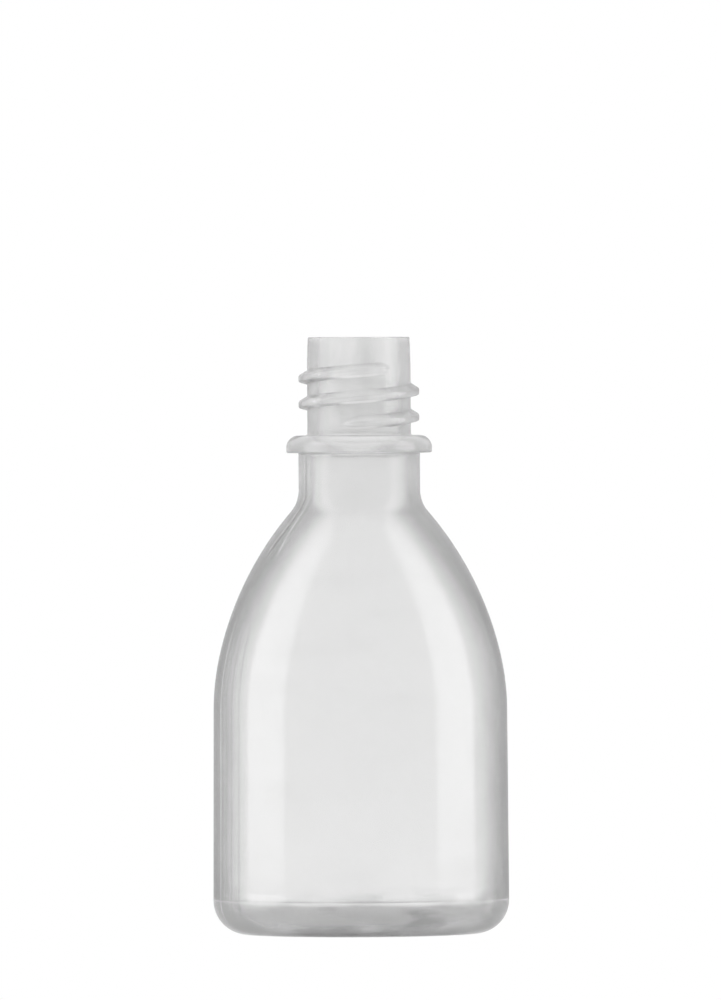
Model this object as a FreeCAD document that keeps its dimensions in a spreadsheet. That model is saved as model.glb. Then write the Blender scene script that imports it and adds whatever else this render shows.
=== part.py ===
"""Narrow neck bottle of 30 ml, blow moulded in one piece from natural soft polyethylene.

The bottle stands on z = 0 with its axis on Z and its front towards -Y.
Lengths are in millimetres and angles in degrees.
"""

import FreeCAD
import Part
import math
import os

import Sketcher
from FreeCAD import Vector

# Each row is an alias, its value and what it measures.
SIZES = [
    ("height", 69.2, "bottle from the foot ring to the rim"),
    ("heel_diameter", 34.3, "body across, just above the heel"),
    ("body_diameter", 34.06, "body across, where the shoulder starts"),
    ("heel_round", 3.9, "outside radius between wall and base"),
    ("foot_width", 1.25, "width of the flat ring that the bottle stands on"),
    ("push_up", 1.2, "rise of the hollow base at its centre"),
    ("shoulder_height", 29.9, "shoulder and plain neck, from the straight wall to the collar"),
    ("knee_height", 6.1, "rise of the shoulder's lower arc, where it meets the upper arc"),
    ("lower_arc", 28.9, "outside radius of the shoulder's lower arc"),
    ("upper_arc", 38.6, "outside radius of the shoulder's upper arc"),
    ("neck_fillet", 3.9, "outside radius between shoulder and neck"),
    ("neck_diameter", 14.08, "plain neck under the collar"),
    ("collar_diameter", 16.9, "collar across"),
    ("collar_height", 2.0, "collar from underside to top"),
    ("collar_round", 1.4, "radius of the collar's upper edge"),
    ("finish_diameter", 12.0, "neck finish at the thread's root"),
    ("finish_height", 11.4, "neck finish from the collar's top to the rim"),
    ("land_height", 3.0, "plain band above the thread"),
    ("mouth_diameter", 11.8, "outside of the rim"),
    ("rim_round", 0.15, "radius of both edges of the rim"),
    ("bore_diameter", 9.7, "bore that a dropper plug presses into"),
    ("bore_length", 12.2, "bore from the rim down to its flare"),
    ("flare_height", 1.4, "flare between the bore and the inside of the plain neck"),
    ("body_wall", 0.9, "wall of the body"),
    ("neck_wall", 1.1, "wall of the plain neck"),
    ("base_wall", 1.1, "wall of the base"),
    ("inner_heel_round", 3.2, "inside radius between wall and base"),
    ("thread_diameter", 14.0, "across the thread's crest"),
    ("thread_pitch", 3.0, "rise of the thread in one turn"),
    ("thread_turns", 2.06, "turns of the thread at full height"),
    ("thread_start", 269.0, "direction where the full thread starts, counted from +X"),
    ("thread_rise", 1.33, "middle of the crest above the collar's top, at the start"),
    ("thread_crest", 0.45, "flat on the thread's crest"),
    ("thread_crest_round", 0.18, "radius of both edges of the crest"),
    ("thread_upper_flank", 31.0, "slope of the thread's upper flank"),
    ("thread_lower_flank", 15.0, "slope of the thread's lower flank, which holds the cap"),
    ("thread_sink", 0.3, "how deep the thread's section reaches into the neck wall"),
    ("fade_angle", 15.0, "turn over which each end of the thread fades"),
    ("fade_height", 0.3, "height of the thread at its very ends"),
    ("fade_crest", 0.12, "flat on the crest at the very ends"),
    ("fade_crest_round", 0.1, "radius of both edges of the crest at the very ends"),
    ("parting_angle", 34.0, "direction of the mould's parting plane, counted from +X"),
    ("pinch_length", 13.0, "pinch-off ridge across the hollow base"),
    ("pinch_width", 0.7, "width of the pinch-off ridge"),
    ("pinch_height", 0.35, "height of the pinch-off ridge"),
]

document = FreeCAD.newDocument("narrow_neck_bottle")
sheet = document.addObject("Spreadsheet::Sheet", "sizes")
for row, (alias, number, meaning) in enumerate(SIZES, start=1):
    sheet.set(f"A{row}", meaning)
    sheet.set(f"B{row}", str(number))
    sheet.setAlias(f"B{row}", alias)
document.recompute()

# Places that follow from the sizes, as expressions over the sheet.
COLLAR_TOP = "(sizes.height - sizes.finish_height)"
COLLAR_FOOT = "(sizes.height - sizes.finish_height - sizes.collar_height)"
SHOULDER_FOOT = f"({COLLAR_FOOT} - sizes.shoulder_height)"
FOOT = "(sizes.heel_diameter / 2 - sizes.heel_round - sizes.foot_width)"

body = document.addObject("PartDesign::Body", "bottle")
body.Label = "bottle"
body.Placement = FreeCAD.Placement()
origin = {feature.Role: feature for feature in body.Origin.OriginFeatures}


def value(expression):
    """Number that an expression over the sheet gives."""
    result = body.evalExpression(expression)
    return float(getattr(result, "Value", result))


def sketch_on(role, name, turn=None, lift=None):
    """Sketch on a plane of the body, turned about Z or lifted along Z by an expression."""
    sketch = body.newObject("Sketcher::SketchObject", name)
    sketch.AttachmentSupport = [(origin[role], "")]
    sketch.MapMode = "FlatFace"
    if turn:
        upright = Vector(0, 1, 0) if role == "XZ_Plane" else Vector(0, 0, 1)
        rotation = FreeCAD.Rotation(upright, value(turn))
        sketch.AttachmentOffset = FreeCAD.Placement(Vector(), rotation)
        sketch.setExpression(".AttachmentOffset.Rotation.Angle", turn)
    if lift:
        sketch.setExpression(".AttachmentOffset.Base.z", lift)
    return sketch


class Outline:
    """Closed chain of lines and arcs in a sketch, tied to the sheet by its constraints."""

    START, END, CENTRE = range(1, 4)

    def __init__(self, sketch, x, y):
        self.sketch = sketch
        self.pen = Vector(x, y, 0)
        self.pieces = []

    def line(self, x, y, smooth=False):
        """Adds a line from the pen to a point and returns its number in the chain."""
        tip = Vector(x, y, 0)
        number = self.sketch.addGeometry(Part.LineSegment(self.pen, tip), False)
        return self.join(number, self.START, self.END, tip, smooth)

    def arc(self, centre, tip, leftwards, smooth=False):
        """Adds an arc about a centre from the pen to a point and returns its number."""
        ends = [self.pen, tip] if leftwards else [tip, self.pen]
        angles = [math.atan2(end.y - centre.y, end.x - centre.x) for end in ends]
        if angles[1] <= angles[0]:
            angles[1] += 2 * math.pi
        circle = Part.Circle(centre, Vector(0, 0, 1), (self.pen - centre).Length)
        number = self.sketch.addGeometry(Part.ArcOfCircle(circle, *angles), False)
        start, end = (self.START, self.END) if leftwards else (self.END, self.START)
        return self.join(number, start, end, tip, smooth)

    def join(self, number, start, end, tip, smooth):
        """Joins a new piece to the one before it, with a corner or smoothly."""
        if self.pieces:
            before, _, before_end = self.pieces[-1]
            self.constrain("Tangent" if smooth else "Coincident", before, before_end, number, start)
        self.pieces.append((number, start, end))
        self.pen = tip
        return len(self.pieces) - 1

    def close(self):
        """Joins the last piece to the first."""
        (last, _, end), (first, start, _) = self.pieces[-1], self.pieces[0]
        self.constrain("Coincident", last, end, first, start)

    def constrain(self, kind, *details):
        """Adds a constraint that needs no size."""
        return self.sketch.addConstraint(Sketcher.Constraint(kind, *details))

    def tie(self, kind, expression, *details):
        """Adds a constraint whose size follows an expression over the sheet."""
        is_angle = kind == "Angle"
        number = value(expression)
        constraint = self.constrain(kind, *details, math.radians(number) if is_angle else number)
        name = f"size_{constraint}"
        self.sketch.renameConstraint(constraint, name)
        unit = "deg" if is_angle else "mm"
        self.sketch.setExpression(f"Constraints.{name}", f"({expression}) * 1 {unit}")

    def tip(self, piece):
        """Piece and point where it ends."""
        number, _, end = self.pieces[piece]
        return number, end

    def level(self, *pieces):
        """Makes lines level."""
        for piece in pieces:
            self.constrain("Horizontal", self.pieces[piece][0])

    def upright(self, *pieces):
        """Makes lines upright."""
        for piece in pieces:
            self.constrain("Vertical", self.pieces[piece][0])

    def on_axis(self, number, point):
        """Keeps a point of a piece on the bottle's axis, which a sketch counts as piece -2."""
        self.constrain("PointOnObject", number, point, -2)

    def on_ground(self, number, point):
        """Keeps a point of a piece on the plane under the bottle, which a sketch counts as -1."""
        self.constrain("PointOnObject", number, point, -1)

    def out(self, piece, expression):
        """Ties how far from the axis a piece ends."""
        self.tie("DistanceX", expression, -1, 1, *self.tip(piece))

    def up(self, piece, expression):
        """Ties how high a piece ends."""
        self.tie("DistanceY", expression, -1, 1, *self.tip(piece))

    def radius(self, piece, expression):
        """Ties the radius of an arc."""
        self.tie("Radius", expression, self.pieces[piece][0])

    def length(self, piece, expression):
        """Ties the length of a line."""
        self.tie("Distance", expression, self.pieces[piece][0])

    def starts_upright(self, *pieces):
        """Keeps the centres of arcs as high as their first points."""
        for piece in pieces:
            number, start, _ = self.pieces[piece]
            self.constrain("Horizontal", number, self.CENTRE, number, start)

    def ends_upright(self, *pieces):
        """Keeps the centres of arcs as high as their last points."""
        for piece in pieces:
            number, _, end = self.pieces[piece]
            self.constrain("Horizontal", number, self.CENTRE, number, end)

    def ends_level(self, *pieces):
        """Keeps the centres of arcs straight above or below their last points."""
        for piece in pieces:
            number, _, end = self.pieces[piece]
            self.constrain("Vertical", number, self.CENTRE, number, end)


def shoulder_points(wall, neck, start, knee, lower, upper, fillet):
    """Centre and last point of the shoulder's lower arc, upper arc and arc into the neck."""
    lower_centre = Vector(wall - lower, start, 0)
    sine = (knee - start) / lower
    outwards = Vector(math.sqrt(1 - sine**2), sine, 0)
    knee_point = lower_centre + outwards * lower
    upper_centre = knee_point - outwards * upper
    cosine = (neck + fillet - upper_centre.x) / (upper + fillet)
    outwards = Vector(cosine, math.sqrt(1 - cosine**2), 0)
    top_point = upper_centre + outwards * upper
    fillet_centre = top_point + outwards * fillet
    neck_point = fillet_centre - Vector(fillet, 0, 0)
    return [(lower_centre, knee_point), (upper_centre, top_point), (fillet_centre, neck_point)]


def draw_shoulder(outline, **expressions):
    """Adds the shoulder's three arcs to an outline, each size given as an expression."""
    points = shoulder_points(**{name: value(text) for name, text in expressions.items()})
    (lower_centre, lower_tip), (upper_centre, upper_tip), (fillet_centre, fillet_tip) = points
    lower = outline.arc(lower_centre, lower_tip, True)
    upper = outline.arc(upper_centre, upper_tip, True, smooth=True)
    fillet = outline.arc(fillet_centre, fillet_tip, False, smooth=True)
    outline.starts_upright(lower)
    outline.radius(lower, expressions["lower"])
    outline.up(lower, expressions["knee"])
    outline.radius(upper, expressions["upper"])
    outline.radius(fillet, expressions["fillet"])
    outline.ends_upright(fillet)


def draw_base(outline, top, ring, foot):
    """Adds the domed middle of a base to an outline, from the axis out to its flat ring."""
    rise, span = value(f"{top} - ({ring})"), value(foot)
    centre = Vector(0, value(top) - (rise**2 + span**2) / (2 * rise), 0)
    dome = outline.arc(centre, Vector(span, value(ring), 0), False)
    outline.on_axis(outline.tip(dome)[0], Outline.CENTRE)
    outline.out(dome, foot)


def draw_rim_edge(outline, side, outwards):
    """Adds a rounded edge of the rim that ends level on top, and returns its number."""
    rounding, rim = value("sizes.rim_round"), value("sizes.height")
    across = -rounding if outwards else rounding
    corner = Vector(side + across, rim - rounding, 0)
    edge = outline.arc(corner, corner + Vector(0, rounding, 0), outwards)
    outline.starts_upright(edge)
    outline.ends_level(edge)
    outline.radius(edge, "sizes.rim_round")


def draw_outside():
    """Half section of the bottle's outside, from the hollow base up to the rim."""
    outline = Outline(sketch_on("XZ_Plane", "outside_outline"), 0, value("sizes.push_up"))
    draw_base(outline, top="sizes.push_up", ring="0", foot=FOOT)
    outline.on_ground(*outline.tip(-1))

    heel, heel_round = value("sizes.heel_diameter / 2"), value("sizes.heel_round")
    foot_ring = outline.line(heel - heel_round, 0)
    heel_centre = Vector(heel - heel_round, heel_round, 0)
    heel_arc = outline.arc(heel_centre, Vector(heel, heel_round, 0), True, smooth=True)
    wall = outline.line(value("sizes.body_diameter / 2"), value(SHOULDER_FOOT))
    outline.out(foot_ring, "sizes.heel_diameter / 2 - sizes.heel_round")
    outline.ends_upright(heel_arc)
    outline.radius(heel_arc, "sizes.heel_round")
    outline.out(wall, "sizes.body_diameter / 2")
    outline.up(wall, SHOULDER_FOOT)
    draw_shoulder(
        outline,
        wall="sizes.body_diameter / 2",
        neck="sizes.neck_diameter / 2",
        start=SHOULDER_FOOT,
        knee=f"{SHOULDER_FOOT} + sizes.knee_height",
        lower="sizes.lower_arc",
        upper="sizes.upper_arc",
        fillet="sizes.neck_fillet",
    )

    collar_top, underside = value(COLLAR_TOP), value(COLLAR_FOOT)
    collar, collar_round = value("sizes.collar_diameter / 2"), value("sizes.collar_round")
    neck_side = outline.line(value("sizes.neck_diameter / 2"), underside)
    collar_under = outline.line(collar, underside)
    corner = Vector(collar - collar_round, collar_top - collar_round, 0)
    collar_side = outline.line(collar, corner.y)
    collar_edge = outline.arc(corner, corner + Vector(0, collar_round, 0), True)
    collar_face = outline.line(value("sizes.finish_diameter / 2"), collar_top)
    outline.out(neck_side, "sizes.neck_diameter / 2")
    outline.up(neck_side, COLLAR_FOOT)
    outline.out(collar_under, "sizes.collar_diameter / 2")
    outline.starts_upright(collar_edge)
    outline.ends_level(collar_edge)
    outline.radius(collar_edge, "sizes.collar_round")
    outline.out(collar_face, "sizes.finish_diameter / 2")
    outline.up(collar_face, COLLAR_TOP)

    land_foot = "sizes.height - sizes.land_height"
    rim, mouth = value("sizes.height"), value("sizes.mouth_diameter / 2")
    finish_side = outline.line(value("sizes.finish_diameter / 2"), value(land_foot))
    land = outline.line(mouth, rim - value("sizes.rim_round"))
    draw_rim_edge(outline, mouth, outwards=True)
    rim_face = outline.line(0, rim)
    axis = outline.line(0, value("sizes.push_up"))
    outline.close()
    outline.up(finish_side, land_foot)
    outline.out(land, "sizes.mouth_diameter / 2")
    outline.up(rim_face, "sizes.height")
    outline.up(axis, "sizes.push_up")
    outline.on_axis(*outline.tip(rim_face))
    outline.on_axis(*outline.tip(axis))
    outline.level(foot_ring, collar_under, collar_face, rim_face)
    outline.upright(neck_side, collar_side, finish_side)
    return outline.sketch


def draw_inside():
    """Half section of the bottle's inside, from its floor up to the rim."""
    floor_top = "sizes.base_wall + sizes.push_up"
    outline = Outline(sketch_on("XZ_Plane", "inside_outline"), 0, value(floor_top))
    draw_base(outline, top=floor_top, ring="sizes.base_wall", foot=FOOT)
    outline.up(-1, "sizes.base_wall")

    heel = "sizes.heel_diameter / 2 - sizes.body_wall"
    wall_side = "sizes.body_diameter / 2 - sizes.body_wall"
    floor, heel_round = value("sizes.base_wall"), value("sizes.inner_heel_round")
    floor_ring = outline.line(value(heel) - heel_round, floor)
    centre = Vector(value(heel) - heel_round, floor + heel_round, 0)
    heel_arc = outline.arc(centre, centre + Vector(heel_round, 0, 0), True, smooth=True)
    wall = outline.line(value(wall_side), value(SHOULDER_FOOT))
    outline.out(floor_ring, f"{heel} - sizes.inner_heel_round")
    outline.ends_upright(heel_arc)
    outline.radius(heel_arc, "sizes.inner_heel_round")
    outline.out(wall, wall_side)
    outline.up(wall, SHOULDER_FOOT)
    lower_arc = "sizes.lower_arc - sizes.body_wall"
    neck = "sizes.neck_diameter / 2 - sizes.neck_wall"
    draw_shoulder(
        outline,
        wall=wall_side,
        neck=neck,
        start=SHOULDER_FOOT,
        knee=f"{SHOULDER_FOOT} + sizes.knee_height * ({lower_arc}) / sizes.lower_arc",
        lower=lower_arc,
        upper="sizes.upper_arc - sizes.body_wall",
        fillet="sizes.neck_fillet + sizes.neck_wall",
    )

    bore, rim = value("sizes.bore_diameter / 2"), value("sizes.height")
    bore_foot = "sizes.height - sizes.bore_length"
    neck_side = outline.line(value(neck), value(f"{bore_foot} - sizes.flare_height"))
    flare = outline.line(bore, value(bore_foot))
    bore_side = outline.line(bore, rim - value("sizes.rim_round"))
    draw_rim_edge(outline, bore, outwards=False)
    lid = outline.line(0, rim)
    axis = outline.line(0, value(floor_top))
    outline.close()
    outline.out(neck_side, neck)
    outline.up(neck_side, f"{bore_foot} - sizes.flare_height")
    outline.out(flare, "sizes.bore_diameter / 2")
    outline.up(flare, bore_foot)
    outline.up(lid, "sizes.height")
    outline.up(axis, floor_top)
    outline.on_axis(*outline.tip(lid))
    outline.on_axis(*outline.tip(axis))
    outline.level(floor_ring, lid)
    outline.upright(neck_side, bore_side)
    return outline.sketch


def draw_thread_section(name, turns, crest_out, crest, crest_round):
    """Section of the thread, a number of turns after the start of the full thread."""
    sketch = sketch_on("XZ_Plane", name, turn=f"sizes.thread_start + 360 * ({turns})")
    middle = f"{COLLAR_TOP} + sizes.thread_rise + sizes.thread_pitch * ({turns})"
    root_out = "sizes.finish_diameter / 2 - sizes.thread_sink"
    root, side, rounding = value(root_out), value(crest_out), value(crest_round)
    half = value(f"({crest}) / 2")
    low = math.radians(value("sizes.thread_lower_flank"))
    high = math.radians(value("sizes.thread_upper_flank"))
    height = value(middle)

    low_centre = Vector(side - rounding, height - half, 0)
    high_centre = Vector(side - rounding, height + half, 0)
    low_point = low_centre + Vector(math.sin(low), -math.cos(low), 0) * rounding
    high_point = high_centre + Vector(math.sin(high), math.cos(high), 0) * rounding
    low_root = low_point.y - (low_point.x - root) * math.tan(low)
    high_root = high_point.y + (high_point.x - root) * math.tan(high)

    outline = Outline(sketch, root, low_root)
    lower_flank = outline.line(low_point.x, low_point.y)
    lower_edge = outline.arc(low_centre, Vector(side, height - half, 0), True, smooth=True)
    crest_line = outline.line(side, height + half, smooth=True)
    upper_edge = outline.arc(high_centre, high_point, True, smooth=True)
    upper_flank = outline.line(root, high_root, smooth=True)
    root_line = outline.line(root, low_root)
    outline.close()
    outline.upright(crest_line, root_line)
    outline.out(root_line, root_out)
    outline.out(crest_line, crest_out)
    outline.up(crest_line, f"{middle} + ({crest}) / 2")
    outline.length(crest_line, crest)
    outline.radius(lower_edge, crest_round)
    outline.radius(upper_edge, crest_round)
    outline.tie("Angle", "sizes.thread_lower_flank", outline.pieces[lower_flank][0])
    outline.tie("Angle", "180 - sizes.thread_upper_flank", outline.pieces[upper_flank][0])
    return sketch


def full_section(name, turns):
    """Section of the thread at full height."""
    sizes = ("sizes.thread_diameter / 2", "sizes.thread_crest", "sizes.thread_crest_round")
    return draw_thread_section(name, turns, *sizes)


def faded_section(name, turns):
    """Section of the thread at one of its ends."""
    crest_out = "sizes.finish_diameter / 2 + sizes.fade_height"
    return draw_thread_section(name, turns, crest_out, "sizes.fade_crest", "sizes.fade_crest_round")


def draw_pinch():
    """Plan of the pinch-off ridge, level with its lower face."""
    lift = "sizes.push_up - sizes.pinch_height"
    sketch = sketch_on("XY_Plane", "pinch_plan", turn="sizes.parting_angle", lift=lift)
    along, across = value("sizes.pinch_length / 2"), value("sizes.pinch_width / 2")
    outline = Outline(sketch, -along, -across)
    front = outline.line(along, -across)
    right = outline.line(along, across)
    back = outline.line(-along, across)
    left = outline.line(-along, -across)
    outline.close()
    outline.level(front, back)
    outline.upright(right, left)
    outline.out(right, "sizes.pinch_length / 2")
    outline.up(right, "sizes.pinch_width / 2")
    outline.constrain("Symmetric", *outline.tip(left), *outline.tip(right), -1, 1)
    return sketch


# Wall of revolution
outside = body.newObject("PartDesign::Revolution", "outside")
outside.Profile = draw_outside()
outside.ReferenceAxis = (outside.Profile[0], ["V_Axis"])
outside.Angle = 360

# Thread with faded ends
thread_start = full_section("thread_start_section", "0")
helix = body.newObject("PartDesign::AdditiveHelix", "thread")
helix.Profile = thread_start
helix.ReferenceAxis = (origin["Z_Axis"], [""])
helix.Mode = "pitch-turns-angle"
helix.Angle = 0
helix.setExpression("Pitch", "sizes.thread_pitch * 1 mm")
helix.setExpression("Turns", "sizes.thread_turns")
document.recompute()

lower_fade = body.newObject("PartDesign::AdditiveLoft", "lower_fade")
lower_fade.Profile = full_section("lower_fade_section", "0")
lower_fade.Sections = [faded_section("lower_tip_section", "-sizes.fade_angle / 360")]
upper_fade = body.newObject("PartDesign::AdditiveLoft", "upper_fade")
upper_fade.Profile = full_section("upper_fade_section", "sizes.thread_turns")
upper_turns = "sizes.thread_turns + sizes.fade_angle / 360"
upper_fade.Sections = [faded_section("upper_tip_section", upper_turns)]

# Pinch-off ridge under the base
pinch = body.newObject("PartDesign::Pad", "pinch_off")
pinch.Profile = draw_pinch()
pinch.setExpression("Length", "(sizes.pinch_height + sizes.base_wall / 2) * 1 mm")

# Inside
inside = body.newObject("PartDesign::Groove", "inside")
inside.Profile = draw_inside()
inside.ReferenceAxis = (inside.Profile[0], ["V_Axis"])
inside.Angle = 360
document.recompute()

# Every object must be sound before it is written
for item in document.Objects:
    if {"Invalid", "Error"} & set(item.State):
        raise RuntimeError(f"{item.Name} did not build: {item.State}")
    if item.isDerivedFrom("Sketcher::SketchObject") and not item.FullyConstrained:
        raise RuntimeError(f"{item.Name} is not fully constrained")
    if item.isDerivedFrom("PartDesign::Feature") and not item.Shape.isValid():
        raise RuntimeError(f"{item.Name} has a faulty shape")
if len(body.Shape.Solids) != 1:
    raise RuntimeError("the bottle is not one solid")

os.makedirs("parts", exist_ok=True)
body.Shape.exportStep("parts/bottle.step")
box = body.Shape.BoundBox
print(f"bottle: volume {body.Shape.Volume:.1f} mm3, {len(body.Shape.Faces)} faces, box {box}")
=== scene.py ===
import math

import bpy
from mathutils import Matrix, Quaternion, Vector


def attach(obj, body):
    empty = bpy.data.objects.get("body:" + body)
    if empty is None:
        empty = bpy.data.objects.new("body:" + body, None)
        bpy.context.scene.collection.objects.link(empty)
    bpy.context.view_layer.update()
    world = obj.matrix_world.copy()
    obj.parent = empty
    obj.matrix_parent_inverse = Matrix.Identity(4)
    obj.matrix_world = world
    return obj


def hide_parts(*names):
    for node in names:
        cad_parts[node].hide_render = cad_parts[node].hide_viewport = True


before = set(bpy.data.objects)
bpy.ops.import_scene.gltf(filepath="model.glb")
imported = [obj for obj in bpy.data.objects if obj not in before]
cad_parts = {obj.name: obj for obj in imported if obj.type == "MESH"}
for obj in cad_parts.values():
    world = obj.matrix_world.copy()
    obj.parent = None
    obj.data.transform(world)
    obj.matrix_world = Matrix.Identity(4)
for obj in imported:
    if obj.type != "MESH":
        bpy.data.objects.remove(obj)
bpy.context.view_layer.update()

# The blown wall
# Body, neck, collar, finish and hollow base are one wall of soft polyethylene, a hot tube blown out between
# two mould halves. These left parting lines and a weld down each side, and the base insert left a ring.
MM = 0.001
heel_radius = 17.15
body_radius = 17.03
heel_round = 3.9
foot_radius = 12.0
push_up = 1.2
shoulder_foot = 25.9
knee_height = 6.1
lower_arc = 28.9
upper_arc = 38.6
neck_fillet = 3.9
neck_radius = 7.04
collar_foot = 55.8
collar_top = 57.8
collar_radius = 8.45
collar_round = 1.4
finish_radius = 6.0
land_foot = 66.2
rim = 69.2
mouth_radius = 5.9
rim_round = 0.15
bore_radius = 4.85
bore_foot = 57.0
flare_foot = 55.6
body_wall = 0.9
neck_wall = 1.1
base_wall = 1.1
inner_heel_round = 3.2
insert_ring = 0.012
ring_height = 0.24
weld_foot = 43.8
weld_full = 44.8
weld_upright = 48.5
weld_offset = math.radians(-5)
weld_lean = math.radians(-6)
parting_sides = (34, 214)
parting = math.radians(parting_sides[1])
faint_lines = (0.5, -5)
light_line = -15.4
parting_lines = [math.radians(step) for step in (*faint_lines, light_line)]
weld_lip = 2.4
lines_fade = (33, 38)
weld_thins = (47.5, 50)
thin_weld = 0.55
weld_fade = (55, 55.6)
heel_sets = (3.5, 9)
rim_sets = (66, 68.5)
even_wall = 0.22


def arc(centre, radius, start, end, count):
    """Points on an arc of the section, angles in degrees, without its first point."""
    angles = [math.radians(start + (end - start) * step / count) for step in range(1, count + 1)]
    return [(centre[0] + radius * math.cos(a), centre[1] + radius * math.sin(a)) for a in angles]


def run(start, end, count):
    """Evenly spaced points on a straight run of the section, without its first point."""
    steps = [step / count for step in range(1, count + 1)]
    return [tuple(a + (b - a) * s for a, b in zip(start, end)) for s in steps]


def shoulder(wall, neck, lower, upper, fillet, knee):
    """Points from the top of the straight wall up the shoulder into the plain neck."""
    low_centre = (wall - lower, shoulder_foot)
    turn = math.asin(knee / lower)
    reach = lower - upper
    high_centre = (low_centre[0] + reach * math.cos(turn), shoulder_foot + reach * math.sin(turn))
    top = math.acos((neck + fillet - high_centre[0]) / (upper + fillet))
    hollow = (neck + fillet, high_centre[1] + (upper + fillet) * math.sin(top))
    turn, top = math.degrees(turn), math.degrees(top)
    points = arc(low_centre, lower, 0, turn, 6) + arc(high_centre, upper, turn, top, 26)
    return points + arc(hollow, fillet, top + 180, 180, 18)


def dome(peak, ring):
    """Points of a domed base from its middle out to its flat ring."""
    rise = peak - ring
    radius = (rise**2 + foot_radius**2) / (2 * rise)
    half = math.degrees(math.asin(foot_radius / radius))
    return arc((0, peak - radius), radius, 90, 90 - half, 14)


def ease(value, low, high):
    """Smooth step from nothing at low to one at high."""
    part = min(max((value - low) / (high - low), 0), 1)
    return part * part * (3 - 2 * part)


outside = [(0, push_up)] + dome(push_up, 0)
outside += run((foot_radius, 0), (heel_radius - heel_round, 0), 2)
outside += arc((heel_radius - heel_round, heel_round), heel_round, -90, 0, 16)
ring_rise = [(0.25, 0.8), (0.5, 1), (0.75, 0.8), (1, 0)]
outside += [(heel_radius + insert_ring * rise, heel_round + ring_height * part) for part, rise in ring_rise]
outside += run(outside[-1], (body_radius, shoulder_foot), 22)
outside += shoulder(body_radius, neck_radius, lower_arc, upper_arc, neck_fillet, knee_height)
outside += run(outside[-1], (neck_radius, collar_foot - 0.15), 6)
outside += arc((neck_radius + 0.15, collar_foot - 0.15), 0.15, 180, 90, 4)
outside += run(outside[-1], (collar_radius - 0.2, collar_foot), 3)
outside += arc((collar_radius - 0.2, collar_foot + 0.2), 0.2, -90, 0, 4)
outside += arc((collar_radius - collar_round, collar_top - collar_round), collar_round, 0, 90, 12)
outside += run(outside[-1], (finish_radius + 0.25, collar_top), 3)
outside += arc((finish_radius + 0.25, collar_top + 0.25), 0.25, 270, 180, 4)
outside += run(outside[-1], (finish_radius, land_foot), 14)
outside += run(outside[-1], (mouth_radius, rim - rim_round), 6)
outside += arc((mouth_radius - rim_round, rim - rim_round), rim_round, 0, 90, 4)

inner_lower = lower_arc - body_wall
inner_heel = heel_radius - body_wall
inside = [(0, push_up + base_wall)] + dome(push_up + base_wall, base_wall)
inside += run((foot_radius, base_wall), (inner_heel - inner_heel_round, base_wall), 2)
inside += arc((inner_heel - inner_heel_round, base_wall + inner_heel_round), inner_heel_round, -90, 0, 16)
inside += run(inside[-1], (body_radius - body_wall, shoulder_foot), 22)
inside += shoulder(
    body_radius - body_wall,
    neck_radius - neck_wall,
    inner_lower,
    upper_arc - body_wall,
    neck_fillet + neck_wall,
    knee_height * inner_lower / lower_arc,
)
inside += run(inside[-1], (neck_radius - neck_wall, flare_foot), 6)
inside += run(inside[-1], (bore_radius, bore_foot), 6)
inside += run(inside[-1], (bore_radius, rim - rim_round), 16)
inside += arc((bore_radius + rim_round, rim - rim_round), rim_round, 180, 90, 4)


def lined(height):
    """How plain the parting lines are at a height of the outside: they stop below the shoulder."""
    return ease(height, push_up, 3) * (1 - ease(height, *lines_fade))


def welded(height):
    """How deep the weld is at a height of the outside: deepest on the shoulder."""
    on_shoulder = ease(height, weld_foot, weld_full)
    thinner = 1 - (1 - thin_weld) * ease(height, *weld_thins)
    return on_shoulder * thinner * (1 - ease(height, *weld_fade))


def weld_turn(height):
    """How far round from the parting the weld lies at a height: it leans over on the shoulder."""
    return weld_offset + weld_lean * (1 - ease(height, weld_foot - 0.8, weld_upright))


def ringed(height):
    """How much of the insert's ring is at a height of the outside."""
    return max(0, 1 - abs(height - heel_round - ring_height / 2) / (0.55 * ring_height))


def loose(height):
    """How unevenly the inside set at a height: most in the heel, least round the pin."""
    in_heel = 1 - ease(height, *heel_sets)
    return (even_wall + (1 - even_wall) * in_heel) * (1 - ease(height, *rim_sets))


def at_collar(height):
    """Whether a height is in the collar, which takes less painted edge shade at a slant than the wall, as the
    thread does.
    """
    return collar_foot <= height <= collar_top


def at_rim(height):
    """Whether a height is in the rim's rounded edges, which take less painted edge shade at a slant too."""
    return height >= rim - 2 * rim_round


wide_turn, middle_turn, fine_turn = 2.0, 0.5, 0.25
turns = [wide_turn * step for step in range(180)]
for side in parting_sides:
    turns += [side + fine_turn * step for step in range(-24, 7)]
    turns += [side + middle_turn * step for step in range(-24, -12)]
    turns += [side + light_line + fine_turn * step for step in range(-4, 5)]
turns = sorted(set(turns))
turns.append(turns[0] + 360)
section = outside + inside[::-1]
rows = len(section)
blank = bpy.data.meshes.new("bottle_blank")
blank.from_pydata(
    [(column * MM, row * MM, 0) for column in range(len(turns)) for row in range(rows)],
    [],
    [
        (corner, corner + rows, corner + rows + 1, corner + 1)
        for column in range(len(turns) - 1)
        for corner in range(column * rows, column * rows + rows - 1)
    ],
)
marks = ("lined", "welded", "weld_turn", "ringed", "ridge", "loose", "inner")
shell = [(lined(z), welded(z), weld_turn(z), ringed(z), at_collar(z) or at_rim(z), 0, 0) for r, z in outside]
shell += [(0, 0, 0, 0, at_rim(z), loose(z), 1) for r, z in inside[::-1]]
stored = {"around": [math.radians(turn) for turn in turns for point in section]}
stored["out"] = [r * MM for turn in turns for r, z in section]
stored["up"] = [z * MM for turn in turns for r, z in section]
for column, name in enumerate(marks):
    stored[name] = [float(point[column]) for turn in turns for point in shell]
for name, numbers in stored.items():
    blank.attributes.new(name, "FLOAT", "POINT").data.foreach_set("value", numbers)


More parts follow.
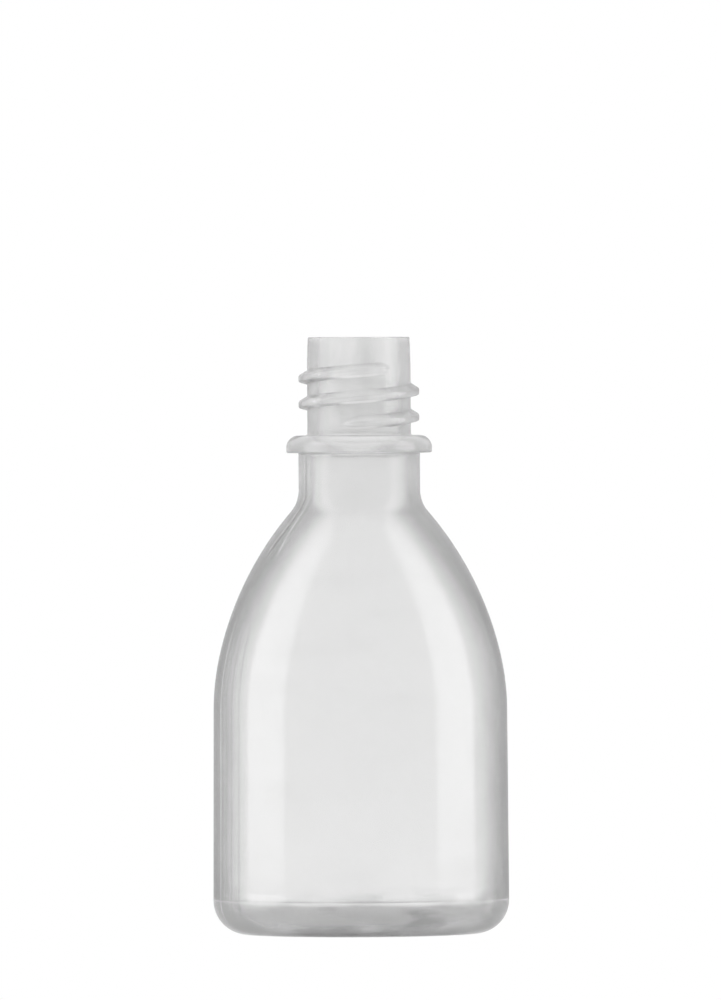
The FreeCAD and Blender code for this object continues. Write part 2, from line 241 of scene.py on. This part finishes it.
def add(tree, kind, inputs=None, **settings):
    """Adds a node with its settings and feeds its inputs with sockets or plain values."""
    node = tree.nodes.new(kind)
    for name, setting in settings.items():
        setattr(node, name, setting)
    for name, source in (inputs or {}).items():
        if isinstance(source, bpy.types.NodeSocket):
            tree.links.new(source, node.inputs[name])
        else:
            node.inputs[name].default_value = source
    return node


def calculate(tree, operation, *values):
    """Result of one sum over sockets and numbers."""
    return add(tree, "ShaderNodeMath", dict(enumerate(values)), operation=operation).outputs[0]


def stored_number(tree, name):
    """A number stored on the mesh that enters a tree."""
    return add(tree, "GeometryNodeInputNamedAttribute", {"Name": name}, data_type="FLOAT").outputs[0]


def shaping_tree(name, sizes):
    """A Geometry Nodes tree with one named input for each size, and its group input's sockets."""
    tree = bpy.data.node_groups.new(name, "GeometryNodeTree")
    tree.interface.new_socket("Geometry", in_out="INPUT", socket_type="NodeSocketGeometry")
    for title, size in sizes.items():
        kind = "NodeSocketObject" if isinstance(size, bpy.types.Object) else "NodeSocketFloat"
        tree.interface.new_socket(title, in_out="INPUT", socket_type=kind)
    tree.interface.new_socket("Shape", in_out="OUTPUT", socket_type="NodeSocketGeometry")
    return tree, add(tree, "NodeGroupInput").outputs


def finish_tree(tree, shape, material):
    """Ends a tree in real faces with their material."""
    shape = add(tree, "GeometryNodeRealizeInstances", {"Geometry": shape}).outputs[0]
    shape = add(tree, "GeometryNodeSetMaterial", {"Geometry": shape, "Material": material}).outputs[0]
    add(tree, "NodeGroupOutput", {"Shape": shape})


def shaped(name, mesh, tree, sizes):
    """An object whose mesh goes through a tree with its sizes."""
    made = bpy.data.objects.new(name, mesh)
    bpy.context.scene.collection.objects.link(made)
    modifier = made.modifiers.new(name, "NODES")
    modifier.node_group = tree
    for title, size in sizes.items():
        modifier[tree.interface.items_tree[title].identifier] = size
    return made


plastic = bpy.data.materials.new("natural_polyethylene")

wall_sizes = {
    "Parting Direction": parting,
    "Line Width": 0.2 * MM,
    "Line Height": 0.01 * MM,
    "Weld Width": 0.16 * MM,
    "Weld Depth": 0.13 * MM,
    "Uneven Depth": 0.75 * MM,
    "Uneven Size": 7.0 * MM,
}
blow, given = shaping_tree("blow_wall", wall_sizes)
around = stored_number(blow, "around")
out = stored_number(blow, "out")
from_parting = calculate(blow, "SUBTRACT", around, given["Parting Direction"])
from_parting = calculate(blow, "WRAP", from_parting, math.pi / 2, -math.pi / 2)


def bell(line, width, beside=0.0):
    """One on an upright line at a turn from the parting, or widths beside it, falling off over a width."""
    offset = calculate(blow, "MULTIPLY", calculate(blow, "SUBTRACT", from_parting, line), out)
    offset = calculate(blow, "SUBTRACT", calculate(blow, "DIVIDE", offset, width), beside)
    square = calculate(blow, "MULTIPLY", offset, offset)
    return calculate(blow, "EXPONENT", calculate(blow, "MULTIPLY", square, -1.0))


weld_line = stored_number(blow, "weld_turn")
welded_here = stored_number(blow, "welded")
lined_here = stored_number(blow, "lined")
bells = [bell(line, given["Line Width"]) for line in parting_lines]
faint = calculate(blow, "MULTIPLY", calculate(blow, "MAXIMUM", bells[0], bells[1]), lined_here)
light = calculate(blow, "MULTIPLY", bells[2], lined_here)
light = calculate(blow, "MAXIMUM", light, calculate(blow, "MULTIPLY", bells[0], welded_here))
lip = calculate(blow, "MULTIPLY", bell(weld_line, given["Weld Width"], -weld_lip), welded_here)
groove = calculate(blow, "MULTIPLY", bell(weld_line, given["Weld Width"]), welded_here)
raised = calculate(blow, "MULTIPLY", light, given["Line Height"])
fold = calculate(blow, "SUBTRACT", calculate(blow, "MULTIPLY", lip, 0.5), groove)
raised = calculate(blow, "MULTIPLY_ADD", fold, given["Weld Depth"], raised)
# Painted highlight along the raised parting line, the weld's lip and the insert's ring.
pale = calculate(blow, "MAXIMUM", calculate(blow, "MAXIMUM", light, lip), stored_number(blow, "ringed"))
# Painted shade in the weld's fold, and a quarter as much along the two fainter parting lines.
groove = calculate(blow, "MAXIMUM", groove, calculate(blow, "MULTIPLY", faint, 0.25))
radius = calculate(blow, "ADD", out, raised)
place = {
    "X": calculate(blow, "MULTIPLY", radius, calculate(blow, "COSINE", around)),
    "Y": calculate(blow, "MULTIPLY", radius, calculate(blow, "SINE", around)),
    "Z": stored_number(blow, "up"),
}
place = add(blow, "ShaderNodeCombineXYZ", place).outputs[0]
shape = add(blow, "GeometryNodeSetPosition", {"Geometry": given[0], "Position": place}).outputs[0]
shape = add(blow, "GeometryNodeMergeByDistance", {"Geometry": shape, "Distance": 1e-6}).outputs[0]
coarseness = calculate(blow, "DIVIDE", 1.0, given["Uneven Size"])
cloud = add(blow, "ShaderNodeTexNoise", {"Scale": coarseness, "Detail": 1.5}).outputs[0]
depth = calculate(blow, "MULTIPLY", calculate(blow, "SUBTRACT", cloud, 0.5), given["Uneven Depth"])
depth = calculate(blow, "MULTIPLY", depth, stored_number(blow, "loose"))
facing = add(blow, "GeometryNodeInputNormal").outputs[0]
offset = add(blow, "ShaderNodeVectorMath", {"Vector": facing, "Scale": depth}, operation="SCALE").outputs[0]
shape = add(blow, "GeometryNodeSetPosition", {"Geometry": shape, "Offset": offset}).outputs[0]
# Both marks go to the material: one is painted highlight, the other painted shade in the weld's fold and
# faintly along the fainter parting lines.
for name, mark in (("pale", pale), ("groove", groove)):
    mark = {"Geometry": shape, "Name": name, "Value": mark}
    shape = add(blow, "GeometryNodeStoreNamedAttribute", mark, data_type="FLOAT", domain="POINT").outputs[0]
finish_tree(blow, shape, plastic)
wall = shaped("wall", blank, blow, wall_sizes)

# The pinch-off ridge
# The low bar under the hollow base, where the mould halves cut the tube and welded its end shut. It lies in
# the parting plane and stays clear of what the bottle stands on.
pinch_height = 0.35
pinch_sizes = {
    "Length": 13.0 * MM,
    "Width": 0.7 * MM,
    "Depth": 0.9 * MM,
    "Lower Face": (push_up - pinch_height) * MM,
    "Edge Round": 0.12 * MM,
    "Direction": math.radians(parting_sides[0]),
}
squeeze, given = shaping_tree("squeeze_pinch", pinch_sizes)
half = calculate(squeeze, "DIVIDE", given["Length"], 2)
middle = calculate(squeeze, "MULTIPLY_ADD", given["Depth"], 0.5, given["Lower Face"])
ends = [{"X": calculate(squeeze, "MULTIPLY", half, side), "Z": middle} for side in (-1, 1)]
ends = [add(squeeze, "ShaderNodeCombineXYZ", end).outputs[0] for end in ends]
shape = add(squeeze, "GeometryNodeCurvePrimitiveLine", {"Start": ends[0], "End": ends[1]}).outputs[0]
shape = add(squeeze, "GeometryNodeSetCurveNormal", {"Curve": shape}, mode="Z_UP").outputs[0]
bar = {"Width": given["Width"], "Height": given["Depth"]}
bar = add(squeeze, "GeometryNodeCurvePrimitiveQuadrilateral", bar).outputs[0]
bar = {"Curve": bar, "Radius": given["Edge Round"], "Count": 3}
bar = add(squeeze, "GeometryNodeFilletCurve", bar, mode="POLY").outputs[0]
shape = {"Curve": shape, "Profile Curve": bar, "Fill Caps": True}
shape = add(squeeze, "GeometryNodeCurveToMesh", shape).outputs[0]
turn = add(squeeze, "ShaderNodeCombineXYZ", {"Z": given["Direction"]}).outputs[0]
shape = add(squeeze, "GeometryNodeTransform", {"Geometry": shape, "Rotation": turn}).outputs[0]
finish_tree(squeeze, shape, plastic)
pinch = shaped("pinch", bpy.data.meshes.new("pinch"), squeeze, pinch_sizes)

# The thread
# One right-handed ridge, two turns long, that a screw cap pulls down on. It was pressed in the neck inserts,
# so it is solid, with a steep lower flank, a flatter upper one and rounded ends that fade out.
thread_rise = 1.33
tip_scale = 0.35
tip_power = 2.5
thread_sizes = {
    "Turns": 2.06,
    "Fade Turns": 15 / 360,
    "Pitch": 3.0 * MM,
    "Root Radius": finish_radius * MM,
    "First Height": (collar_top + thread_rise) * MM,
    "First Direction": math.radians(269),
}
profile = [(-0.35, -0.715), (0.0, -0.62), (0.86, -0.386), (0.96, -0.33), (1.0, -0.22)]
profile += [(1.0, 0.22), (0.97, 0.32), (0.87, 0.43), (0.0, 0.95), (-0.35, 1.16)]
thread_section = bpy.data.meshes.new("thread_section")
thread_section.from_pydata(
    [(x * MM, -y * MM, 0) for x, y in reversed(profile)],
    [(i, (i + 1) % len(profile)) for i in range(len(profile))],
    [],
)
wind, given = shaping_tree("wind_thread", thread_sizes)
whole = calculate(wind, "MULTIPLY_ADD", given["Fade Turns"], 2.0, given["Turns"])
path = {
    "Resolution": 120,
    "Rotations": whole,
    "Start Radius": given["Root Radius"],
    "End Radius": given["Root Radius"],
    "Height": calculate(wind, "MULTIPLY", whole, given["Pitch"]),
    "Reverse": True,
}
path = add(wind, "GeometryNodeCurveSpiral", path).outputs[0]
early = calculate(wind, "MULTIPLY", given["Fade Turns"], -2 * math.pi)
turn = {"Z": calculate(wind, "ADD", given["First Direction"], early)}
lead = calculate(wind, "MULTIPLY", given["Fade Turns"], given["Pitch"])
lift = {"Z": calculate(wind, "SUBTRACT", given["First Height"], lead)}
turn, lift = (add(wind, "ShaderNodeCombineXYZ", vector).outputs[0] for vector in (turn, lift))
path = {"Geometry": path, "Translation": lift, "Rotation": turn}
path = add(wind, "GeometryNodeTransform", path).outputs[0]
path = add(wind, "GeometryNodeSetCurveNormal", {"Curve": path}, mode="Z_UP").outputs[0]
along = add(wind, "GeometryNodeSplineParameter").outputs["Factor"]
to_end = calculate(wind, "MINIMUM", along, calculate(wind, "SUBTRACT", 1.0, along))
fade = calculate(wind, "DIVIDE", given["Fade Turns"], whole)
grow = {"Value": to_end, "From Max": fade, "To Min": 1.0, "To Max": 0.0}
grow = add(wind, "ShaderNodeMapRange", grow).outputs[0]
grow = calculate(wind, "SUBTRACT", 1.0, calculate(wind, "POWER", grow, tip_power))
grow = calculate(wind, "MULTIPLY_ADD", grow, 1 - tip_scale, tip_scale)
edge = add(wind, "GeometryNodeMeshToCurve", {"Mesh": given[0]}).outputs[0]
shape = {"Curve": path, "Profile Curve": edge, "Scale": grow, "Fill Caps": True}
shape = add(wind, "GeometryNodeCurveToMesh", shape).outputs[0]
mark = {"Geometry": shape, "Name": "ridge", "Value": 1.0}
shape = add(wind, "GeometryNodeStoreNamedAttribute", mark, data_type="FLOAT", domain="POINT").outputs[0]
finish_tree(wind, shape, plastic)
thread = shaped("thread", thread_section, wind, thread_sizes)

# The bottle in one piece
# Wall, pinch-off ridge and thread are one moulding of waxy, half-clear natural polyethylene. Its colour is
# darker at a slant, partly for the longer path through the milky wall and partly as painted edge shade. It is
# streaked in the finish and clouded darker in the heel towards the bottom, with painted contact shade at the
# foot's front, and faintly specked.
# Painted highlights run along the raised parting line, the weld's lip, the insert's ring and the collar, and
# painted shade lies in the weld's fold.
moulding_pieces = {"Wall": wall, "Pinch": pinch, "Thread": thread}
join, given = shaping_tree("join_moulding", moulding_pieces)
union = add(join, "GeometryNodeMeshBoolean", operation="UNION", solver="MANIFOLD")
for title in ("Thread", "Pinch", "Wall"):
    piece = add(join, "GeometryNodeObjectInfo", {"Object": given[title]}).outputs["Geometry"]
    join.links.new(piece, union.inputs["Mesh 2"])
finish_tree(join, union.outputs["Mesh"], plastic)
moulding = shaped("moulding", bpy.data.meshes.new("moulding"), join, moulding_pieces)
bpy.context.view_layer.update()
evaluated = moulding.evaluated_get(bpy.context.evaluated_depsgraph_get())
bottle_mesh = bpy.data.meshes.new_from_object(evaluated)
bottle_mesh.name = "blown_bottle"
bottle = bpy.data.objects.new("blown_bottle", bottle_mesh)
bpy.context.scene.collection.objects.link(bottle)
for spent in (wall, pinch, thread, moulding):
    bpy.data.objects.remove(spent)
bottle_mesh.shade_smooth()
bottle_mesh.set_sharp_from_angle(angle=math.radians(38))

# In each look, steep is the clearness at a slant, partly the longer path through the milky wall and partly
# painted edge shade; the thread, collar and rim take the lighter ridge value, so less of the painted shade.
body_look = {"clear": 0.9375, "steep": 0.06, "from": 0.34, "to": 1.0, "outside": 0.15, "inside": 0.26}
neck_look = {"clear": 0.945, "steep": 0.74, "from": 0.15, "to": 0.4, "outside": 0.26, "inside": 0.24}
body_look_top = 33 * MM
neck_look_foot = 53 * MM
ridge_edge_shade = 0.92
# Clearness of the painted shade in the weld's fold.
painted_groove_shade = 0.3
# Clearness by height: darker up the neck, finish and rim, and lighter just above the insert's ring and on the
# collar, which is painted highlight.
bands = [(3.9, 0.99), (4.1, 1.013), (14, 1), (48.2, 1), (49.8, 0.96), (55.6, 0.96)]
bands += [(56, 1.03), (57, 1.03), (58.5, 0.98), (65, 0.98), (67, 0.955)]
# Clouding in the heel, darker towards the bottom.
heel_clouds_per_metre = 110.0
heel_cloud_place = (0.5966, -0.0013, 0.0045)
heel_cloud_depth = 0.3
heel_cloud_threshold = 0.54
heel_cloud_blur = 0.14
heel_cloud_top = 6 * MM
heel_cloud_full = 3 * MM
# Painted contact shade: the clouding goes deeper and wider in the lowest millimetres of the foot's front,
# near the floor.
contact_shade_top = 2.2 * MM
contact_shade_full = 0.6 * MM
contact_shade_start = -11.5 * MM
contact_shade_front = -13.9 * MM
contact_shade_spread = 0.45
contact_shade_depth = 0.25
streaks_per_metre = 480.0
streak_depth = 0.13
streak_foot = 57 * MM
streak_full = 59 * MM
speck_spacing = 2.2 * MM
speck_size = 0.55 * MM
speck_clear = 0.955
ripples_per_metre = 180.0
grains_per_metre = 700.0
skin_depth = 0.05 * MM

plastic.use_nodes = True
tree = plastic.node_tree
tree.nodes.clear()
surface = add(tree, "ShaderNodeBsdfPrincipled", {"IOR": 1.51, "Transmission Weight": 0.87})
height = add(tree, "ShaderNodeTexCoord").outputs["Object"]
height = add(tree, "ShaderNodeSeparateXYZ", {0: height}).outputs["Z"]
look = {}
for name in body_look:
    ramp = {"Value": height, "From Min": body_look_top, "From Max": neck_look_foot}
    ramp |= {"To Min": body_look[name], "To Max": neck_look[name]}
    look[name] = add(tree, "ShaderNodeMapRange", ramp).outputs[0]
inner = add(tree, "ShaderNodeAttribute", attribute_name="inner").outputs["Fac"]
rough = {"Value": inner, "To Min": look["outside"], "To Max": look["inside"]}
tree.links.new(add(tree, "ShaderNodeMapRange", rough).outputs[0], surface.inputs["Roughness"])
# Darker at a slant: partly the longer path through the milky wall, partly painted edge shade.
steep = add(tree, "ShaderNodeLayerWeight").outputs["Facing"]
ridge = add(tree, "ShaderNodeAttribute", attribute_name="ridge").outputs["Fac"]
darkest = {"Value": ridge, "To Min": look["steep"], "To Max": ridge_edge_shade}
darkest = add(tree, "ShaderNodeMapRange", darkest).outputs[0]
tint = {"Value": steep, "From Min": look["from"], "From Max": look["to"]}
tint |= {"To Min": look["clear"], "To Max": darkest}
tint = add(tree, "ShaderNodeMapRange", tint, interpolation_type="SMOOTHSTEP").outputs[0]
banded = add(tree, "ShaderNodeValToRGB", {"Fac": calculate(tree, "DIVIDE", height, rim * MM)})
stops = banded.color_ramp.elements
for level, clear in bands:
    stops.new(level / rim).color = (clear, clear, clear, 1)
stops.remove(stops[-1])
stops.remove(stops[0])
tint = calculate(tree, "MULTIPLY", tint, banded.outputs["Color"])
# Painted shade in the weld's fold and faintly along the fainter parting lines.
groove = add(tree, "ShaderNodeAttribute", attribute_name="groove").outputs["Fac"]
groove = {"Value": groove, "To Min": tint, "To Max": painted_groove_shade}
tint = add(tree, "ShaderNodeMapRange", groove).outputs[0]
places = add(tree, "ShaderNodeTexCoord").outputs["Object"]
flat = add(tree, "ShaderNodeMapping", {"Vector": places, "Scale": (1, 1, 3)}).outputs[0]
heel_cloud_space = {"Vector": places, "Location": heel_cloud_place, "Scale": (1, 1, 3)}
heel_cloud_space = add(tree, "ShaderNodeMapping", heel_cloud_space).outputs[0]
cloud = {"Vector": heel_cloud_space, "Scale": heel_clouds_per_metre, "Detail": 4.0, "Roughness": 0.58}
cloud = add(tree, "ShaderNodeTexNoise", cloud).outputs[0]
low = {"Value": height, "From Min": heel_cloud_top, "From Max": heel_cloud_full}
low |= {"To Min": 0.02, "To Max": heel_cloud_depth}
low = add(tree, "ShaderNodeMapRange", low).outputs[0]
# Painted contact shade at the foot's front, near the floor.
front_shade = add(tree, "ShaderNodeSeparateXYZ", {0: places}).outputs["Y"]
front_shade = {"Value": front_shade, "From Min": contact_shade_start, "From Max": contact_shade_front, "To Max": low}
front_shade = add(tree, "ShaderNodeMapRange", front_shade).outputs[0]
contact_shade = {"Value": height, "From Min": contact_shade_top, "From Max": contact_shade_full, "To Max": front_shade}
contact_shade = add(tree, "ShaderNodeMapRange", contact_shade).outputs[0]
least = calculate(tree, "MULTIPLY_ADD", contact_shade, -contact_shade_spread, heel_cloud_threshold)
most = calculate(tree, "ADD", least, heel_cloud_blur)
low = calculate(tree, "MULTIPLY_ADD", contact_shade, contact_shade_depth, low)
cloud = {"Value": cloud, "From Min": least, "From Max": most, "To Min": 0.0, "To Max": low}
cloud = add(tree, "ShaderNodeMapRange", cloud).outputs[0]
tint = calculate(tree, "MULTIPLY", tint, calculate(tree, "SUBTRACT", 1.0, cloud))
tall = add(tree, "ShaderNodeMapping", {"Vector": places, "Scale": (1, 1, 0.3)}).outputs[0]
streak = {"Vector": tall, "Scale": streaks_per_metre, "Detail": 2.0}
streak = add(tree, "ShaderNodeTexNoise", streak).outputs[0]
high = {"Value": height, "From Min": streak_foot, "From Max": streak_full, "To Max": streak_depth}
high = add(tree, "ShaderNodeMapRange", high).outputs[0]
streak = {"Value": streak, "From Min": 0.42, "From Max": 0.7, "To Min": 0.0, "To Max": high}
streak = add(tree, "ShaderNodeMapRange", streak).outputs[0]
tint = calculate(tree, "MULTIPLY", tint, calculate(tree, "SUBTRACT", 1.0, streak))
# Painted highlight along the raised parting line, the weld's lip and the insert's ring: the colour there is
# lifted towards clear.
pale = add(tree, "ShaderNodeAttribute", attribute_name="pale").outputs["Fac"]
pale = {"Value": pale, "From Max": 1.3, "To Min": tint, "To Max": 1.0}
tint = add(tree, "ShaderNodeMapRange", pale).outputs[0]
cells = add(tree, "ShaderNodeTexVoronoi", {"Vector": places, "Scale": 1 / speck_spacing}).outputs
lot = add(tree, "ShaderNodeSeparateColor", {0: cells["Color"]}).outputs[0]
reach = calculate(tree, "MULTIPLY", lot, speck_size / speck_spacing)
speck = {"Value": cells["Distance"], "From Min": calculate(tree, "MULTIPLY", reach, 0.3), "From Max": reach}
speck |= {"To Min": speck_clear, "To Max": 1.0}
tint = calculate(tree, "MULTIPLY", tint, add(tree, "ShaderNodeMapRange", speck).outputs[0])
tree.links.new(tint, surface.inputs["Base Color"])
grain = {"Vector": places, "Scale": grains_per_metre, "Detail": 2.0}
grain = add(tree, "ShaderNodeTexNoise", grain).outputs[0]
ripple = {"Vector": flat, "Scale": ripples_per_metre, "Detail": 1.0}
ripple = add(tree, "ShaderNodeTexNoise", ripple).outputs[0]
skin = calculate(tree, "MULTIPLY_ADD", grain, 0.1, calculate(tree, "MULTIPLY", ripple, 0.9))
bump = {"Height": skin, "Strength": 0.25, "Distance": skin_depth}
tree.links.new(add(tree, "ShaderNodeBump", bump).outputs[0], surface.inputs["Normal"])
absorb = add(tree, "ShaderNodeVolumeAbsorption", {"Color": (0, 0, 0, 1), "Density": 5.0})
add(tree, "ShaderNodeOutputMaterial", {"Surface": surface.outputs[0], "Volume": absorb.outputs[0]})

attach(bottle, "root")
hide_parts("bottle")

# The floor
# A round of pale paper, plain white to the camera, so that there is no seam between it and the background.
# Light through the plastic finds it nearly as bright, and the skin mirrors it dimmer far off than close by.
floor_radius = 0.35
floor_gap = 0.01 * MM
near_floor = 0.08
far_floor = 0.14
near_mirrored = 0.9
far_mirrored = 0.62
own_glow = 0.4
floor_sides = 96
floor_mesh = bpy.data.meshes.new("floor")
rim_turns = [2 * math.pi * side / floor_sides for side in range(floor_sides)]
floor_mesh.from_pydata(
    [(floor_radius * math.cos(turn), floor_radius * math.sin(turn), -floor_gap) for turn in rim_turns],
    [],
    [list(range(floor_sides))],
)
floor = bpy.data.objects.new("floor", floor_mesh)
bpy.context.scene.collection.objects.link(floor)
paper = bpy.data.materials.new("white_paper")
paper.use_nodes = True
tree = paper.node_tree
tree.nodes.clear()
ray = add(tree, "ShaderNodeLightPath").outputs
mirrored = calculate(tree, "MULTIPLY", ray["Is Reflection Ray"], ray["Is Glossy Ray"])
shade = add(tree, "ShaderNodeBsdfDiffuse", {"Color": (0.9, 0.9, 0.9, 1)}).outputs[0]
bright = add(tree, "ShaderNodeEmission", {"Color": (1, 1, 1, 1), "Strength": 1.0}).outputs[0]
distance = add(tree, "ShaderNodeTexCoord").outputs["Object"]
distance = add(tree, "ShaderNodeVectorMath", {0: distance}, operation="LENGTH").outputs["Value"]
dim = {"Value": distance, "From Min": near_floor, "From Max": far_floor}
dim |= {"To Min": near_mirrored, "To Max": far_mirrored}
dim = add(tree, "ShaderNodeMapRange", dim).outputs[0]
dim = add(tree, "ShaderNodeEmission", {"Color": (1, 1, 1, 1), "Strength": dim}).outputs[0]
blend = add(tree, "ShaderNodeMixShader", {0: own_glow, 1: shade, 2: bright}).outputs[0]
blend = add(tree, "ShaderNodeMixShader", {0: mirrored, 1: blend, 2: dim}).outputs[0]
blend = add(tree, "ShaderNodeMixShader", {0: ray["Is Camera Ray"], 1: blend, 2: bright}).outputs[0]
add(tree, "ShaderNodeOutputMaterial", {"Surface": blend})
floor_mesh.materials.append(paper)

# The light
# A white surround lights the plastic from behind and all round. It is dimmer where the skin only mirrors it,
# and two tall softboxes, one on each side, draw the bright upright bands.
mirrored_loss = 0.3
diffuse_gain = 0.15
softbox_top = 2.4
softbox_foot = -0.2
softbox_width = 0.7
softbox_aside = 1.0
softbox_front = 0.18
softbox_watts = 13.0
world = bpy.data.worlds.new("white_studio")
bpy.context.scene.world = world
world.use_nodes = True
world.cycles.sampling_method = "NONE"
sky = world.node_tree
sky.nodes.clear()
ray = add(sky, "ShaderNodeLightPath").outputs
mirrored = calculate(sky, "MULTIPLY", ray["Is Reflection Ray"], ray["Is Glossy Ray"])
strength = calculate(sky, "MULTIPLY_ADD", mirrored, -mirrored_loss, 1.0)
strength = calculate(sky, "MULTIPLY_ADD", ray["Is Diffuse Ray"], diffuse_gain, strength)
glow = add(sky, "ShaderNodeBackground", {"Color": (1, 1, 1, 1), "Strength": strength}).outputs[0]
add(sky, "ShaderNodeOutputWorld", {"Surface": glow})
for side in (-1, 1):
    lamp = bpy.data.lights.new("side_softbox", "AREA")
    lamp.shape = "RECTANGLE"
    lamp.size = softbox_top - softbox_foot
    lamp.size_y = softbox_width
    lamp.energy = softbox_watts
    softbox = bpy.data.objects.new("side_softbox", lamp)
    softbox.location = (side * softbox_aside, -softbox_front, (softbox_top + softbox_foot) / 2)
    softbox.rotation_euler = (0, side * math.pi / 2, 0)
    softbox.visible_camera = False
    softbox.visible_transmission = False
    bpy.context.scene.collection.objects.link(softbox)

# The camera
# It stands far off and about as high as the rim, so that the bottle shows its side almost square on, and it
# is rolled by a hair, as the bottle leans by that much in the picture.
camera_distance = 2.1
camera_height = 70 * MM
camera_aside = 0.13 * MM
aim_height = 50.3 * MM
picture_height = 0.116
camera_roll = math.radians(-0.28)
camera_data = bpy.data.cameras.new("camera")
camera_data.sensor_width = 36
camera_data.lens = camera_data.sensor_width * camera_distance / picture_height
camera_data.clip_start = 0.1
camera_data.clip_end = 20
camera = bpy.data.objects.new("camera", camera_data)
camera.location = (camera_aside, -camera_distance, camera_height)
aim = Vector((camera_aside, 0, aim_height)) - camera.location
camera.rotation_mode = "QUATERNION"
camera.rotation_quaternion = aim.to_track_quat("-Z", "Y") @ Quaternion((0, 0, 1), camera_roll)
bpy.context.scene.collection.objects.link(camera)
bpy.context.scene.camera = camera
bpy.context.scene.view_settings.view_transform = "Standard"
bpy.context.scene.view_settings.look = "None"
